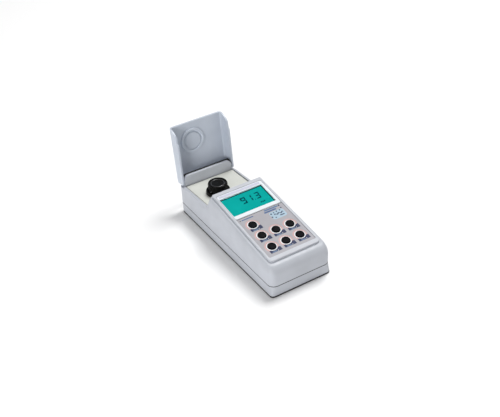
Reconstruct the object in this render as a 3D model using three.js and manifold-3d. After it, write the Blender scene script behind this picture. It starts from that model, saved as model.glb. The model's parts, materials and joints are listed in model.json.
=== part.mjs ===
// A handheld water tester that measures how cloudy a sample is: a two-shell plastic case with a
// sloping keypad and display, and a lidded well behind it that takes a capped glass cuvette.
// Millimetres. X runs across the case, +X to the user's right. Y runs along it, from the nose at
// the user's end to the lid hinge at the far end. Z is up, and the rubber feet stand at Z = 0.
// The case is drawn about its own middle, and the last lines put the origin at the bottom centre
// of the whole instrument with its lid open.
import * as THREE from "three";
import { mergeVertices } from "three/addons/utils/BufferGeometryUtils.js";
import Module from "manifold-3d";

// ---- Driving dimensions ----
const CASE_LENGTH = 220;
const CASE_WIDTH = 82; // halfway along
const TAPER = 0.0003; // share of the width that each millimetre towards the hinge takes off
const FRONT_CORNER = 8.5; // upright corners of the case, either side of the nose
const FRONT_FOOT_CORNER = 4.5; // the same corners at the very bottom
const REAR_CORNER = 4.5; // upright corners at the hinge end
const WALL = 2.4;
const GAP = 0.3; // between pieces that fit together
const BASE_Z = 1.4; // underside of the lower shell, clear of the ground by the feet
const PARTING_Z = 15.6; // where the two shells meet

// The sloping face that carries the display and the keys
const FACE_REAR = { y: 28.6, z: 65.9 };
const FACE_FRONT = { y: -99.3, z: 44.4 };
const FACE_LIP = 2; // how far the raised face runs on behind the display's frame
const FACE_HALF_WIDTH = 35.6;
const FACE_RAISE = 3; // height of the face above the shoulders round it
const FACE_SKIN = 1.4; // thickness of the shell under those shoulders
const RECESS_HALF_WIDTH = 32.6;
const RECESS_DEPTH = 1.6;
const WINDOW = { x: -1.5, halfWidth: 30.4, low: 20, high: 54.4 }; // seen opening, along the face
const OVERLAY_LOW = -58.6;
const OVERLAY_HIGH = 14;
const KEY_PITCH = 20;
const KEY_ROWS = [-3.1, -23.3, -44.4];
const KEY_RADIUS = 5.3;

// The deck round the sample well, and the hinge block behind it
const DECK_FRONT = { y: 38.9, z: 44.7 };
const DECK_REAR = { y: 106, z: 42 };
const DECK_HALF_WIDTH = 36.6;
const DECK_MARGIN = 0.5; // groove between the deck plate and the rim beside it
const HINGE_BLOCK = { front: 101.5, depth: 7.8, crest: 3.6, halfWidth: 35.6, top: 56.4 };
const EAR_NOTCH = { halfWidth: 35.9, front: 99.5, floor: 40.6 }; // room for the lid's ears
const PIVOT = { y: 105, z: 46.5 };
const PIN_RADIUS = 1.5;

// The lid, drawn shut
const LID_HALF_WIDTH = 38.7;
const LID_TIP = { y: 32.2, z: 66.06 };
const LID_REAR_Y = 109;
const LID_SLOPE = THREE.MathUtils.degToRad(3.5);
const LID_OPEN = THREE.MathUtils.degToRad(92.3);
const LID_WALL = 2.2;
const LID_CORNER = 4.8;
const LID_RING = { x: -8.2, y: 58.6, outer: 17, inner: 13.4, disc: 11.4, height: 1.8 };

// The sample well, and the cuvette that stands in it
const WELL = { x: -8.6, y: 62.5 };
const VIAL_RADIUS = 12;
const VIAL_WALL = 1.2;
const VIAL_BOTTOM = 8.3;
const NECK_RADIUS = 10.2;
const CAP_RADIUS = 12.4;
const CAP_TOP = 58;
const CAP_BOTTOM = 48.6;

// Four AA cells side by side, across the case, behind a door in the underside
const CELL = { radius: 7.1, length: 49, nubRadius: 2.7, nub: 1.5, pitch: 14.8, axisZ: 11 };
const BAY = { halfWidth: 29, front: -72.6, rear: -12.6, roof: 19.4, wall: 2.4 };
const DOOR = { halfWidth: 29.9, front: -73.5, rear: -11.7, thickness: 2 };

// The layers under the sloping face: width across, length and heights in the face's own frame
const BEZEL_HIGH = 61;
const BEZEL_THICKNESS = 1.1;
const OVERLAY = { bottom: -RECESS_DEPTH + GAP, thickness: 0.6 };
const LCD = { width: 61.6, length: 35.4, bottom: -5.2, thickness: 2 };
const BACKLIGHT = { width: 61.6, length: 36.4, bottom: -8, thickness: 2.5 };
const HOLDER = { width: 64.6, length: 39.6, bottom: -9.6, height: 4.9, wall: 1.2 };
const DOME_SHEET = { bottom: -7.8, thickness: 0.8, domeRadius: 4, domeHeight: 0.3 };
const KEYPAD_BOARD = { halfWidth: 29, low: -51.6, high: 6, bottom: -9.6, thickness: 1.5 };
const SKIN_UNDER = -FACE_RAISE - FACE_SKIN; // underside of the face's skin
const BOARD = { halfWidth: 30, low: -58.5, high: 62, top: -10.2, thickness: 1.6 };
const POST = { x: 26, y: -55.2, radius: 3 };
const DECK_PLATE = { top: -0.7, thickness: 1.6 }; // top is below the rim
const COLLAR = { outer: 15.7, inner: 12.9, neck: 14.1, top: 48, bottom: 38.8, round: 1.6 };
const SCREW = { boss: 3.8, hole: 1.8, shank: 1.45, headRadius: 2.8, headZ: 6, top: 29 };
const FOOT = { radius: 5, height: BASE_Z + 0.5, recess: 0.8 };
const LIP = { height: 2.4, thickness: 1.1 };
const SEAM_Z = PARTING_Z - 0.6; // top edge of the lower shell
const FLOOR_Z = BASE_Z + WALL;
const OPTICS = { halfWidth: 20, bottom: FLOOR_Z + GAP, top: 37, beamZ: 22 };
const SPRING = { foot: 4.2, tip: 2, length: 4, turns: 3, wire: 0.35 };
const LEAD_HOLES = [-14, 14]; // where the battery leads leave the bay

// ---- Finishes ----
const finish = (color, roughness, metalness = 0) =>
  new THREE.MeshStandardMaterial({ color, roughness, metalness });
const caseGrey = finish(0xc6cad1, 0.55);
const deckCream = finish(0xd4d6d0, 0.6);
const lidGrey = finish(0xbcc3cb, 0.5);
const bezelWhite = finish(0xdfe6ea, 0.45);
const overlaySilver = finish(0xbdb6c2, 0.45);
const keyBlack = finish(0x101218, 0.5);
const glassClear = finish(0xdfeeee, 0.08);
const lcdTeal = finish(0x12a59c, 0.35);
const diffuserWhite = finish(0xf2f4f2, 0.5);
const mouldedBlack = finish(0x17181a, 0.6);
const rubberBlack = finish(0x1c1c1e, 0.85);
const boardGreen = finish(0x1d5b3a, 0.5);
const chipBlack = finish(0x1a1a1d, 0.4);
const steel = finish(0xb9bcc0, 0.3, 0.9);
const cellJacket = finish(0x3a5a8c, 0.4, 0.2);
const irLens = finish(0x2a2036, 0.15);
const domeSteel = finish(0xc7c9cc, 0.3, 0.8);
const leadRed = finish(0xa5281f, 0.5);
const leadBlack = finish(0x1b1b1d, 0.5);
const leadGrey = finish(0x85888d, 0.5);

// ---- Solids ----
const wasm = await Module();
wasm.setup();

// A geometry as a solid that can be joined and cut.
function solid(geometry, placement = new THREE.Matrix4()) {
  const loose = geometry.index ? geometry.toNonIndexed() : geometry;
  const bare = new THREE.BufferGeometry()
    .setAttribute("position", loose.getAttribute("position").clone())
    .applyMatrix4(placement);
  const merged = mergeVertices(bare, 1e-4);
  const mesh = new wasm.Mesh({
    numProp: 3,
    vertProperties: merged.attributes.position.array,
    triVerts: new Uint32Array(merged.index.array),
  });
  return new wasm.Manifold(mesh);
}

// A solid as a geometry that a mesh can show.
function surface(manifold) {
  const { vertProperties, triVerts } = manifold.getMesh();
  const geometry = new THREE.BufferGeometry();
  geometry.setAttribute("position", new THREE.BufferAttribute(vertProperties, 3));
  geometry.setIndex(new THREE.BufferAttribute(triVerts, 1));
  return geometry;
}

const shift = (x, y, z) => new THREE.Matrix4().makeTranslation(x, y, z);

// Stands a side view, drawn as Y across and Z up, upright, so that it is extruded along X.
const sideways = new THREE.Matrix4().makeBasis(
  new THREE.Vector3(0, 1, 0),
  new THREE.Vector3(0, 0, 1),
  new THREE.Vector3(1, 0, 0),
);

// A plate with rounded corners, centred on the Z axis, from Z = 0 upwards. The two corners
// at +Y can be given a radius of their own.
function plate(width, length, radius, thickness, bevel = 0, rear = radius) {
  const [x, y] = [width / 2, length / 2];
  const outline = new THREE.Shape();
  outline.moveTo(x, radius - y);
  outline.lineTo(x, y - rear);
  outline.absarc(x - rear, y - rear, rear, 0, Math.PI / 2);
  outline.lineTo(rear - x, y);
  outline.absarc(rear - x, y - rear, rear, Math.PI / 2, Math.PI);
  outline.lineTo(-x, radius - y);
  outline.absarc(radius - x, radius - y, radius, Math.PI, 1.5 * Math.PI);
  outline.lineTo(x - radius, -y);
  outline.absarc(x - radius, radius - y, radius, 1.5 * Math.PI, 2 * Math.PI);
  const options = { depth: thickness - 2 * bevel, bevelEnabled: bevel > 0, curveSegments: 4 };
  Object.assign(options, { bevelThickness: bevel, bevelSize: bevel, bevelSegments: 1 });
  options.bevelOffset = -bevel;
  return new THREE.ExtrudeGeometry(outline, options).translate(0, 0, bevel);
}

const box = (width, length, height) =>
  new THREE.BoxGeometry(width, length, height).translate(0, 0, height / 2);

// A rod along Z, from Z = 0 upwards.
const rod = (radius, length, sides = 16) =>
  new THREE.CylinderGeometry(radius, radius, length, sides)
    .rotateX(Math.PI / 2)
    .translate(0, 0, length / 2);

// A turned piece about Z, from its profile as [radius, height] pairs, bottom first.
const turned = (profile, sides = 20) =>
  new THREE.LatheGeometry(
    profile.map(([radius, height]) => new THREE.Vector2(radius, height)),
    sides,
  ).rotateX(Math.PI / 2);

// One level of a lofted body: a rounded rectangle, anticlockwise from above, that narrows
// towards the hinge as the case does. Its height may change along the case.
function level(halfWidth, front, rear, frontRadius, rearRadius, heightAt) {
  const steps = 5;
  const corners = [
    [halfWidth - frontRadius, front + frontRadius, frontRadius, -1],
    [halfWidth - rearRadius, rear - rearRadius, rearRadius, 0],
    [rearRadius - halfWidth, rear - rearRadius, rearRadius, 1],
    [frontRadius - halfWidth, front + frontRadius, frontRadius, 2],
  ];
  const points = [];
  for (const [x, y, radius, quarter] of corners)
    for (let k = 0; k <= steps; k++) {
      const turn = ((quarter + k / steps) * Math.PI) / 2;
      const along = y + radius * Math.sin(turn);
      const across = (x + radius * Math.cos(turn)) * (1 - TAPER * along);
      points.push([across, along, heightAt(along)]);
    }
  return points;
}

// A closed body through levels that are stacked upwards.
function loft(levels) {
  const count = levels[0].length;
  const faces = [];
  for (let k = 0; k + 1 < levels.length; k++)
    for (let i = 0; i < count; i++) {
      const [a, b] = [k * count + i, k * count + ((i + 1) % count)];
      faces.push(a, b, b + count, a, b + count, a + count);
    }
  const top = (levels.length - 1) * count;
  for (let i = 1; i + 1 < count; i++) {
    faces.push(0, i + 1, i);
    faces.push(top, top + i, top + i + 1);
  }
  const geometry = new THREE.BufferGeometry();
  const position = new Float32Array(levels.flat(2));
  geometry.setAttribute("position", new THREE.BufferAttribute(position, 3));
  geometry.setIndex(faces);
  return geometry;
}

// ---- Frames of the sloping face and of the deck ----
const faceAngle = Math.atan2(FACE_REAR.z - FACE_FRONT.z, FACE_REAR.y - FACE_FRONT.y);
const faceLength = Math.hypot(FACE_REAR.z - FACE_FRONT.z, FACE_REAR.y - FACE_FRONT.y);
const faceMiddle = { y: (FACE_REAR.y + FACE_FRONT.y) / 2, z: (FACE_REAR.z + FACE_FRONT.z) / 2 };
const windowMiddle = (WINDOW.low + WINDOW.high) / 2;
const windowLength = WINDOW.high - WINDOW.low;
const faceHeight = (y) => FACE_FRONT.z + (y - FACE_FRONT.y) * Math.tan(faceAngle);
const deckAngle = -Math.atan2(DECK_FRONT.z - DECK_REAR.z, DECK_REAR.y - DECK_FRONT.y);
const deckHeight = (y) => DECK_FRONT.z + (y - DECK_FRONT.y) * Math.tan(deckAngle);

const face = new THREE.Group();
face.position.set(0, faceMiddle.y, faceMiddle.z);
face.rotation.x = faceAngle;
face.updateMatrix();
const onFace = (x, y, z) => face.matrix.clone().multiply(shift(x, y, z));

const deck = new THREE.Group();
deck.position.set(0, WELL.y, deckHeight(WELL.y));
deck.rotation.x = deckAngle;
deck.updateMatrix();
const onDeck = (x, y, z) => deck.matrix.clone().multiply(shift(x, y, z));

const lidShut = new THREE.Group();
lidShut.position.set(0, PIVOT.y, PIVOT.z);
lidShut.rotation.x = -LID_OPEN;

const instrument = new THREE.Group();
instrument.add(face, deck, lidShut);

function add(parent, name, shape, material) {
  const mesh = new THREE.Mesh(shape.isBufferGeometry ? shape : surface(shape), material);
  mesh.name = name;
  parent.add(mesh);
  return mesh;
}

// ---- Places of the pieces that repeat ----
const pairs = (xs, ys) => ys.flatMap((y) => xs.map((x) => [x, y]));
const screwPlaces = pairs([-32, 32], [-97, 96]);
const footPlaces = pairs([-30, 30], [-86, 84]);
const postPlaces = pairs([-POST.x, POST.x], [POST.y]);
const keyPlaces = [
  [-KEY_PITCH, KEY_ROWS[0]],
  ...pairs([-KEY_PITCH, 0, KEY_PITCH], KEY_ROWS.slice(1)),
];

// ---- Case shells ----

// The front body under the sloping face, inset all round and stopped short at the top.
function frontBody(inset) {
  const noseStart = 0.6; // share of the height where the sides begin to curl in
  const [shoulderIn, noseIn] = [3.4, 8.2];
  const rearRun = 19;
  const steps = 5;
  const at = (rise, curl) => {
    const round = 1 - Math.sqrt(1 - curl * curl);
    const side = CASE_WIDTH / 2 - inset - shoulderIn * (0.45 * curl + 0.55 * round);
    const front = -CASE_LENGTH / 2 + inset + noseIn * round;
    const rear = FACE_REAR.y + FACE_LIP + 0.9 + rearRun * (1 - rise) - inset;
    const radius = FRONT_CORNER - inset - 2 * round;
    const foot = PARTING_Z - (inset > 0 ? 1 : 0);
    const crown = (y) => faceHeight(y) - FACE_RAISE - (inset > 0 ? FACE_SKIN : 0);
    return level(side, front, rear, radius, 3, (y) => foot + rise * (crown(y) - foot));
  };
  const levels = [at(0, 0)];
  for (let k = 0; k <= steps; k++) {
    const curl = Math.sin(((k / steps) * Math.PI) / 2);
    levels.push(at(noseStart + (1 - noseStart) * curl, curl));
  }
  return solid(loft(levels));
}

// The lower rear body round the sample well, with a softened rim.
function rearBody(inset, drop) {
  const start = 36 - inset;
  const end = CASE_LENGTH / 2 - inset;
  const half = CASE_WIDTH / 2 - inset;
  const radius = Math.max(REAR_CORNER - inset, 2);
  const soft = 1.4;
  const at = (tuck, sink) =>
    level(half - tuck, start, end - tuck, 1, radius - tuck, (y) => deckHeight(y) - drop - sink);
  const foot = level(half, start, end, 1, radius, () => PARTING_Z - (inset > 0 ? 1 : 0));
  const rim = inset > 0 ? [at(0, 0)] : [at(0, soft), at(0.3 * soft, 0.3 * soft), at(soft, 0)];
  return solid(loft([foot, ...rim]));
}

// The block that stands behind the deck and carries the lid's hinge pins: round-cornered from
// the front, and thinned towards its top edge from the side.
function hingeBlock() {
  const { front, depth, halfWidth, top, crest } = HINGE_BLOCK;
  const [radius, foot, soft] = [8, DECK_REAR.z - 4, 1.2];
  const outline = new THREE.Shape();
  outline.moveTo(halfWidth, foot);
  outline.lineTo(halfWidth, top - radius);
  outline.absarc(halfWidth - radius, top - radius, radius, 0, Math.PI / 2);
  outline.lineTo(radius - halfWidth, top);
  outline.absarc(radius - halfWidth, top - radius, radius, Math.PI / 2, Math.PI);
  outline.lineTo(-halfWidth, foot);
  const options = { depth: depth + 2, bevelEnabled: false, curveSegments: 5 };
  const seen = new THREE.ExtrudeGeometry(outline, options).rotateX(Math.PI / 2);

  const section = new THREE.Shape();
  section.moveTo(front, foot);
  section.lineTo(front + depth, foot);
  section.lineTo(front + depth, PIVOT.z + 4);
  section.lineTo(front + crest, top - 0.5);
  section.lineTo(front + crest - 0.5, top);
  section.lineTo(front + soft, top);
  section.absarc(front + soft, top - soft, soft, Math.PI / 2, Math.PI);
  const width = 2 * halfWidth + 2;
  const side = new THREE.ExtrudeGeometry(section, { ...options, depth: width, curveSegments: 3 });
  return solid(seen, shift(0, front + depth + 1, 0)).intersect(
    solid(side, shift(-width / 2, 0, 0).multiply(sideways)),
  );
}

function upperCase() {
  const { front, depth, halfWidth, top } = HINGE_BLOCK;
  const raised = plate(2 * FACE_HALF_WIDTH, faceLength + FACE_LIP, 5, FACE_RAISE + 1, 0.5, 1.8);
  let body = frontBody(0)
    .add(rearBody(0, 0))
    .add(solid(raised, onFace(0, FACE_LIP / 2, -FACE_RAISE - 1)))
    .add(hingeBlock());

  const pocket = 2.6; // depth of the deck plate's pocket below the rim
  const skin = 2.2;
  const blockHollow = box(2 * halfWidth - 16, depth - 4.8, top - DECK_REAR.z - 4);
  let hollow = frontBody(WALL)
    .add(rearBody(WALL, pocket + skin))
    .add(solid(blockHollow, shift(0, front + depth / 2, DECK_REAR.z - 8)));

  // Bosses for the case screws and posts for the circuit board
  for (const [x, y] of screwPlaces) {
    hollow = hollow.subtract(solid(rod(SCREW.boss, 60), shift(x, y, PARTING_Z + 0.4)));
  }
  for (const [x, y] of postPlaces) {
    hollow = hollow.subtract(solid(rod(POST.radius, 12, 16), onFace(x, y, BOARD.top + GAP)));
  }
  body = body.subtract(hollow);
  for (const [x, y] of screwPlaces)
    body = body.subtract(solid(rod(SCREW.hole, SCREW.top - 9, 16), shift(x, y, 10)));
  for (const [x, y] of postPlaces)
    body = body.subtract(solid(rod(1.45, 6.5, 12), onFace(x, y, BOARD.top - 1)));

  // Recess, display opening and key holes in the face
  const recessLow = OVERLAY_LOW - GAP;
  const recessHigh = BEZEL_HIGH + GAP;
  const recess = plate(
    2 * (RECESS_HALF_WIDTH + GAP),
    recessHigh - recessLow,
    2,
    RECESS_DEPTH + 2,
  );
  const recessMiddle = (recessHigh + recessLow) / 2;
  body = body.subtract(solid(recess, onFace(0, recessMiddle, -RECESS_DEPTH)));
  const opening = box(2 * WINDOW.halfWidth + 1.6, windowLength + 1.6, 12);
  body = body.subtract(solid(opening, onFace(WINDOW.x, windowMiddle, -10)));
  for (const [x, y] of keyPlaces)
    body = body.subtract(solid(rod(KEY_RADIUS + GAP, 12), onFace(x, y, -10)));

  // Pocket for the deck plate, hole for the well, pin holes in the hinge block's ends, and
  // notches in the rim beside them
  const pocketFront = DECK_FRONT.y + 1.6 - WELL.y;
  const pocketRear = front - WELL.y;
  const pocketLength = pocketRear - pocketFront;
  const floor = plate(2 * DECK_HALF_WIDTH, pocketLength, 1.5, pocket + 3);
  const cut = solid(floor, onDeck(0, (pocketRear + pocketFront) / 2, -pocket));
  const spare = solid(box(CASE_WIDTH, 60, 40), shift(0, FACE_REAR.y + 12 - 30, 30));
  body = body.subtract(cut.subtract(spare));
  body = body.subtract(solid(rod(COLLAR.neck + GAP, 30, 20), shift(WELL.x, WELL.y, 30)));
  const [notchWidth, notchLength] = [10, 20];
  for (const side of [-1, 1]) {
    const hole = new THREE.CylinderGeometry(PIN_RADIUS + 0.15, PIN_RADIUS + 0.15, 8, 24);
    hole.rotateZ(Math.PI / 2);
    const reach = side * (halfWidth - 2);
    body = body.subtract(solid(hole, shift(reach, PIVOT.y, PIVOT.z)));
    const notch = box(notchWidth, notchLength, 20);
    const notchX = side * (EAR_NOTCH.halfWidth + notchWidth / 2);
    const notchY = EAR_NOTCH.front + notchLength / 2;
    body = body.subtract(solid(notch, shift(notchX, notchY, EAR_NOTCH.floor)));
  }
  return body;
}

function lowerCase() {
  const [half, end] = [CASE_WIDTH / 2, CASE_LENGTH / 2];
  const soft = 0.8;
  const at = (tuck, z) => {
    const rise = Math.min((z - BASE_Z) / (SEAM_Z - BASE_Z), 1);
    const front = FRONT_FOOT_CORNER + (FRONT_CORNER - FRONT_FOOT_CORNER) * rise;
    const [frontRadius, rearRadius] = [front, REAR_CORNER].map((r) => Math.max(r - tuck, 1.5));
    return level(half - tuck, tuck - end, end - tuck, frontRadius, rearRadius, () => z);
  };
  const outer = [at(soft, BASE_Z), at(0.35 * soft, BASE_Z + 0.35 * soft), at(0.15, BASE_Z + soft)];
  let body = solid(loft([...outer, at(0, SEAM_Z)]));
  body = body.subtract(solid(loft([at(WALL + 0.4, FLOOR_Z), at(WALL, SEAM_Z + 1)])));

  // A lip that stands up inside the upper shell and closes the seam
  const lipOut = WALL + GAP;
  const lipIn = lipOut + LIP.thickness;
  const lip = solid(loft([at(lipOut, SEAM_Z - 4), at(lipOut, SEAM_Z + LIP.height)]));
  const inside = solid(loft([at(lipIn, SEAM_Z - 5), at(lipIn, SEAM_Z + LIP.height + 1)]));
  const lipFoot = solid(loft([at(WALL - 0.3, SEAM_Z - 4), at(WALL - 0.3, SEAM_Z - 1.5)]));
  body = body.add(lip.add(lipFoot).subtract(inside));

  // The battery bay: an upturned box over an opening in the floor
  const bayMiddle = (BAY.front + BAY.rear) / 2;
  const bayLength = BAY.rear - BAY.front;
  const bayWidth = 2 * (BAY.halfWidth + BAY.wall);
  const bayShell = box(bayWidth, bayLength + 2 * BAY.wall, BAY.roof + BAY.wall - BASE_Z);
  const bayHollow = box(2 * BAY.halfWidth, bayLength, BAY.roof - BASE_Z + 1);
  const doorLength = DOOR.rear - DOOR.front;
  const doorMiddle = (DOOR.rear + DOOR.front) / 2;
  const doorway = box(2 * (DOOR.halfWidth + GAP), doorLength + 2 * GAP, WALL + 1);
  body = body
    .add(solid(bayShell, shift(0, bayMiddle, BASE_Z)))
    .subtract(solid(bayHollow, shift(0, bayMiddle, BASE_Z - 1)))
    .subtract(solid(doorway, shift(0, doorMiddle, BASE_Z - 1)));
  for (const x of LEAD_HOLES)
    body = body.subtract(solid(rod(1.3, 8, 12), shift(x, BAY.rear - 1.6, BAY.roof - 2)));

  // Screw bosses with counterbores, and pads for the feet
  for (const [x, y] of screwPlaces) {
    body = body.add(solid(rod(SCREW.boss, SEAM_Z - BASE_Z), shift(x, y, BASE_Z)));
    body = body.subtract(solid(rod(SCREW.hole, 30, 16), shift(x, y, 0)));
    body = body.subtract(solid(rod(SCREW.headRadius + GAP, SCREW.headZ + 1, 16), shift(x, y, -1)));
  }
  for (const [x, y] of footPlaces)
    body = body.subtract(solid(rod(FOOT.radius + GAP, BASE_Z + FOOT.recess, 24), shift(x, y, 0)));
  return body;
}

// ---- Display and keypad, in the frame of the sloping face ----
// A plate that spans low to high along the face.
function facePlate(halfWidth, low, high, radius, bottom, thickness, bevel = 0) {
  const sheet = plate(2 * halfWidth, high - low, radius, thickness, bevel);
  return sheet.translate(0, (low + high) / 2, bottom);
}

// Moves a piece that is centred on the Z axis to the middle of the display's window.
const atWindow = (piece, bottom) => piece.translate(WINDOW.x, windowMiddle, bottom);

function displayBezel() {
  const low = OVERLAY_HIGH + GAP;
  const { bottom } = OVERLAY;
  const frame = facePlate(RECESS_HALF_WIDTH, low, BEZEL_HIGH, 1.8, bottom, BEZEL_THICKNESS, 0.25);
  const opening = plate(2 * WINDOW.halfWidth, windowLength, 0.8, BEZEL_THICKNESS + 2);
  return solid(frame).subtract(solid(atWindow(opening, bottom - 1)));
}

function displayWindow() {
  const lens = plate(2 * WINDOW.halfWidth + 1, windowLength + 1, 0.9, 1);
  return atWindow(lens, OVERLAY.bottom - GAP - 1);
}

function lcdHolder() {
  const { width, length, bottom, height, wall } = HOLDER;
  const frame = atWindow(box(width, length, height), bottom);
  const inner = atWindow(box(width - 2 * wall, length - 2 * wall, height + 2), bottom - 1);
  return solid(frame).subtract(solid(inner));
}

function keypadOverlay() {
  const { bottom, thickness } = OVERLAY;
  const sheet = facePlate(RECESS_HALF_WIDTH, OVERLAY_LOW, OVERLAY_HIGH, 1.8, bottom, thickness);
  let body = solid(sheet);
  for (const [x, y] of keyPlaces)
    body = body.subtract(solid(rod(KEY_RADIUS + GAP, 4), shift(x, y, bottom - 1)));
  return body;
}

// A key's cap comes up through the face, and its flange keeps it in.
function key() {
  const crown = 1.3;
  const edge = 0.5;
  const flange = { radius: 7, top: SKIN_UNDER - GAP, thickness: 1.1 };
  const profile = [
    [0, flange.top - flange.thickness],
    [flange.radius, flange.top - flange.thickness],
    [flange.radius, flange.top],
    [KEY_RADIUS, flange.top],
  ];
  const steps = 3;
  for (let k = 0; k <= steps; k++) {
    const turn = ((k / steps) * Math.PI) / 2;
    const radius = k < steps ? KEY_RADIUS * Math.cos(turn) : 0;
    profile.push([radius, edge + (crown - edge) * Math.sin(turn)]);
  }
  return turned(profile, 16);
}

function domeSheet() {
  const { bottom, thickness, domeRadius, domeHeight } = DOME_SHEET;
  const { halfWidth, low, high } = KEYPAD_BOARD;
  let body = solid(facePlate(halfWidth - 1, low + 1, high - 1, 2, bottom, thickness));
  for (const [x, y] of keyPlaces) {
    const top = bottom + thickness;
    const dome = turned([
      [0, top - 0.3],
      [domeRadius, top - 0.3],
      [domeRadius, top],
      [domeRadius * 0.6, top + domeHeight],
      [0, top + domeHeight],
    ], 12);
    body = body.add(solid(dome, shift(x, y, 0)));
  }
  return body;
}

function mainBoard() {
  const { halfWidth, low, high, top, thickness } = BOARD;
  let body = solid(facePlate(halfWidth, low, high, 1.5, top - thickness, thickness));
  for (const [x, y] of postPlaces)
    body = body.subtract(solid(rod(1.45, 6, 12), shift(x, y, top - 4)));
  return body;
}

// A pan-head screw about Z, its head at the bottom.
function screw(headRadius, headHeight, shankRadius, length) {
  return turned([
    [0, 0],
    [headRadius * 0.8, 0],
    [headRadius, headHeight * 0.5],
    [headRadius, headHeight],
    [shankRadius, headHeight],
    [shankRadius, length - shankRadius],
    [0, length],
  ], 12);
}

add(instrument, "lower_case", lowerCase(), caseGrey);
add(instrument, "upper_case", upperCase(), caseGrey);
add(face, "display_bezel", displayBezel(), bezelWhite);
add(face, "display_window", displayWindow(), glassClear);
const lcd = plate(LCD.width, LCD.length, 0.6, LCD.thickness);
add(face, "lcd_panel", atWindow(lcd, LCD.bottom), lcdTeal);
const backlight = plate(BACKLIGHT.width, BACKLIGHT.length, 0.6, BACKLIGHT.thickness);
add(face, "lcd_backlight", atWindow(backlight, BACKLIGHT.bottom), diffuserWhite);
add(face, "lcd_holder", lcdHolder(), mouldedBlack);
add(face, "keypad_overlay", keypadOverlay(), overlaySilver);
keyPlaces.forEach(([x, y], k) => {
  add(face, `key_${k + 1}`, key(), keyBlack).position.set(x, y, 0);
});
add(face, "key_dome_sheet", domeSheet(), domeSteel);
const keypadBoard = facePlate(
  KEYPAD_BOARD.halfWidth,
  KEYPAD_BOARD.low,
  KEYPAD_BOARD.high,
  1.5,
  KEYPAD_BOARD.bottom,
  KEYPAD_BOARD.thickness,
);
add(face, "keypad_circuit_board", keypadBoard, boardGreen);
add(face, "main_circuit_board", mainBoard(), boardGreen);
const boardUnder = BOARD.top - BOARD.thickness;
const chip = box(14, 14, 1.4).translate(4, -14, boardUnder - GAP - 1.4);
add(face, "microcontroller", chip, chipBlack);
const buzzer = rod(6, 6.5, 24).translate(-16, 24, boardUnder - GAP - 6.5);
add(face, "buzzer", buzzer, mouldedBlack);
postPlaces.forEach(([x, y], k) => {
  const boardScrew = screw(2.2, 1.6, 1.1, 8);
  add(face, `board_screw_${k + 1}`, boardScrew, steel).position.set(x, y, boardUnder - GAP - 1.6);
});

// ---- Sample well and its optics ----
function deckPlate() {
  const low = DECK_FRONT.y + 1.9 - WELL.y;
  const high = HINGE_BLOCK.front - GAP - WELL.y;
  const width = 2 * (DECK_HALF_WIDTH - DECK_MARGIN);
  const sheet = plate(width, high - low, 1.2, DECK_PLATE.thickness, 0.3);
  const bottom = DECK_PLATE.top - DECK_PLATE.thickness;
  const placed = solid(sheet, onDeck(0, (low + high) / 2, bottom));
  return placed.subtract(solid(rod(COLLAR.neck + GAP, 20, 20), shift(WELL.x, WELL.y, 34)));
}

// The collar's flange lies on the sloping deck plate, and its neck goes down through it.
function wellCollar() {
  const { outer, inner, neck, top, bottom, round } = COLLAR;
  const flangeFoot = 41;
  const ringShape = turned([
    [inner, bottom],
    [neck, bottom],
    [neck, flangeFoot],
    [outer, flangeFoot],
    [outer, top - round],
    [outer - 0.3 * round, top - 0.3 * round],
    [outer - round, top],
    [inner + 0.5, top],
    [inner, top - 0.5],
    [inner, bottom],
  ], 28);
  const under = solid(box(60, 60, 20), onDeck(WELL.x, 0, DECK_PLATE.top + GAP - 20));
  const core = solid(rod(neck, 40, 20), shift(WELL.x, WELL.y, 20));
  return solid(ringShape, shift(WELL.x, WELL.y, 0)).subtract(under.subtract(core));
}

function opticalBlock() {
  const { halfWidth, bottom, top, beamZ } = OPTICS;
  const boreFloor = VIAL_BOTTOM - GAP;
  const across = new THREE.Matrix4().makeRotationY(Math.PI / 2);
  const along = new THREE.Matrix4().makeRotationX(-Math.PI / 2);
  return solid(plate(2 * halfWidth, 2 * halfWidth, 3, top - bottom), shift(0, 0, bottom))
    .subtract(solid(rod(VIAL_RADIUS + 0.7, 60, 20), shift(0, 0, boreFloor)))
    .subtract(solid(rod(2.8, 20, 16), shift(-halfWidth - 8, 0, beamZ).multiply(across)))
    .subtract(solid(rod(4.6, 20, 20), shift(0, halfWidth - 10, beamZ).multiply(along)));
}

function wellSeal() {
  const [inner, outer, height] = [12.5, 15, 0.9];
  const profile = [[inner, 0], [outer, 0], [outer, height], [inner, height], [inner, 0]];
  return turned(profile);
}

// A five-millimetre lamp about Z: flange, barrel and domed lens.
function lamp() {
  const radius = 2.4;
  const profile = [[0, 0], [2.7, 0], [2.7, 0.8], [radius, 0.8], [radius, 4]];
  const steps = 3;
  for (let k = 1; k <= steps; k++) {
    const turn = ((k / steps) * Math.PI) / 2;
    profile.push([k < steps ? radius * Math.cos(turn) : 0, 4 + radius * Math.sin(turn)]);
  }
  return turned(profile, 12);
}

const detectorCan = () =>
  turned([[0, 0], [4.3, 0], [4.3, 0.6], [3.8, 0.6], [3.8, 3.8], [3.2, 4.2], [0, 4.2]], 14);

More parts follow.
